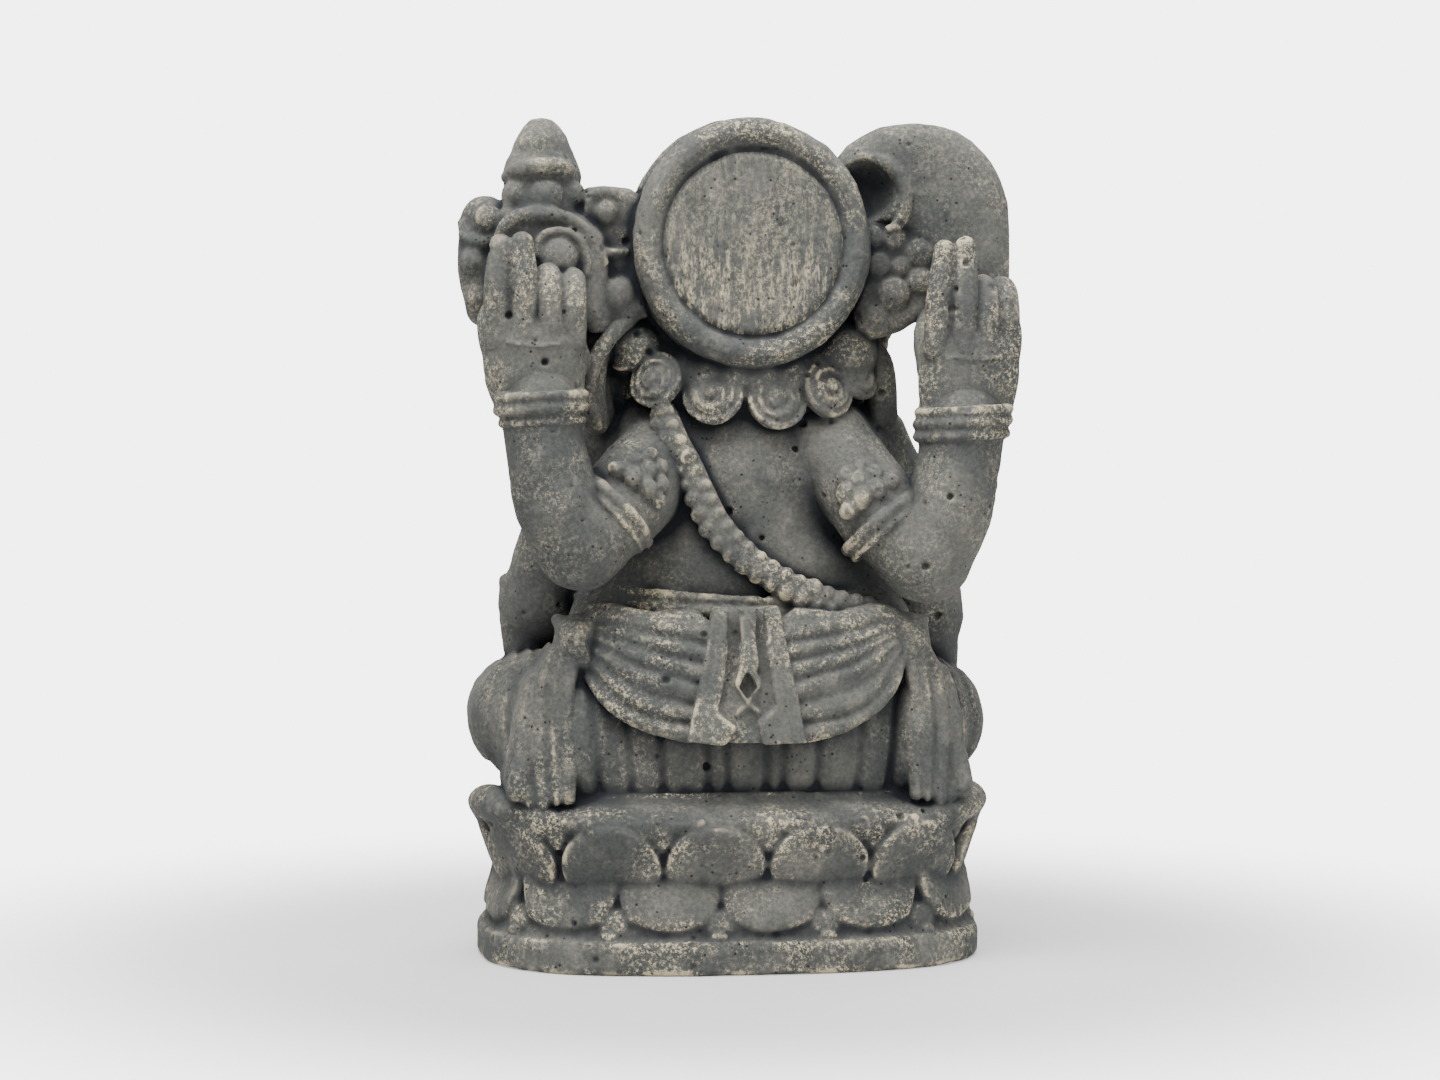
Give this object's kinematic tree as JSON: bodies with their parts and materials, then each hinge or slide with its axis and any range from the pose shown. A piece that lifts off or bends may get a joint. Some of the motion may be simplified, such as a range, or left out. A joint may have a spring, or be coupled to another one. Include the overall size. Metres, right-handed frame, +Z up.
{
  "type": "ganesha idol",
  "caption": "Seated four-armed elephant-headed figure in weathered grey stone on a double lotus pedestal, for a shrine or garden.",
  "frame": {"origin": "middle of the pedestal's flat underside", "axes": "+Z up, the figure faces -Y, the figure's left hand side is +X"},
  "size_m": [0.2542, 0.1955, 0.386],
  "materials": {
    "carved_stone": "weathered matt volcanic stone",
    "worn_relief": "matt stone, rubbed paler along raised edges",
    "plinth_stone": "matt pitted stone",
    "sawn_face": "rough sawn stone, pale, with fine vertical tool marks"
  },
  "bodies": {
    "root": {"plinth_slab": "plinth_stone", "lower_lotus_row": "plinth_stone", "upper_lotus_row": "plinth_stone", "torso": "carved_stone", "lap_cloth": "carved_stone", "left_foot": "carved_stone", "left_knee": "carved_stone", "right_foot": "carved_stone", "right_knee": "carved_stone", "sweet_bowl": "worn_relief", "left_front_hand": "carved_stone", "left_front_forearm": "carved_stone", "left_front_upper_arm": "carved_stone", "held_tusk": "worn_relief", "right_front_hand": "carved_stone", "right_front_forearm": "carved_stone", "right_front_upper_arm": "carved_stone", "left_rear_forearm": "carved_stone", "left_rear_upper_arm": "carved_stone", "left_rear_hand": "carved_stone", "left_raised_fingers": "carved_stone", "left_folded_fingers": "carved_stone", "left_rear_thumb": "carved_stone", "left_bracelet": "worn_relief", "left_armlet": "worn_relief", "jewelled_finial": "worn_relief", "right_rear_forearm": "carved_stone", "right_rear_upper_arm": "carved_stone", "right_rear_hand": "carved_stone", "right_raised_fingers": "carved_stone", "right_folded_fingers": "carved_stone", "right_rear_thumb": "carved_stone", "right_bracelet": "worn_relief", "right_armlet": "worn_relief", "axe_blade": "carved_stone", "axe_shaft": "carved_stone", "crown_drum": "carved_stone", "crown_rim": "worn_relief", "crown_panel": "sawn_face", "brow_diadem": "worn_relief", "left_ear_flower": "worn_relief", "right_ear_flower": "worn_relief", "head_dome": "carved_stone", "left_ear": "carved_stone", "left_tusk": "carved_stone", "right_ear": "carved_stone", "right_tusk": "carved_stone", "trunk": "carved_stone", "left_shoulder_lock": "carved_stone", "right_shoulder_lock": "carved_stone", "waist_belt": "worn_relief", "back_apron": "worn_relief", "left_sash_knot": "carved_stone", "left_sash_swag": "worn_relief", "right_sash_knot": "carved_stone", "right_sash_swag": "worn_relief", "front_apron": "worn_relief", "sacred_thread_back": "worn_relief", "sacred_thread_front": "worn_relief", "scroll_collar": "worn_relief"}
  },
  "joints": []
}
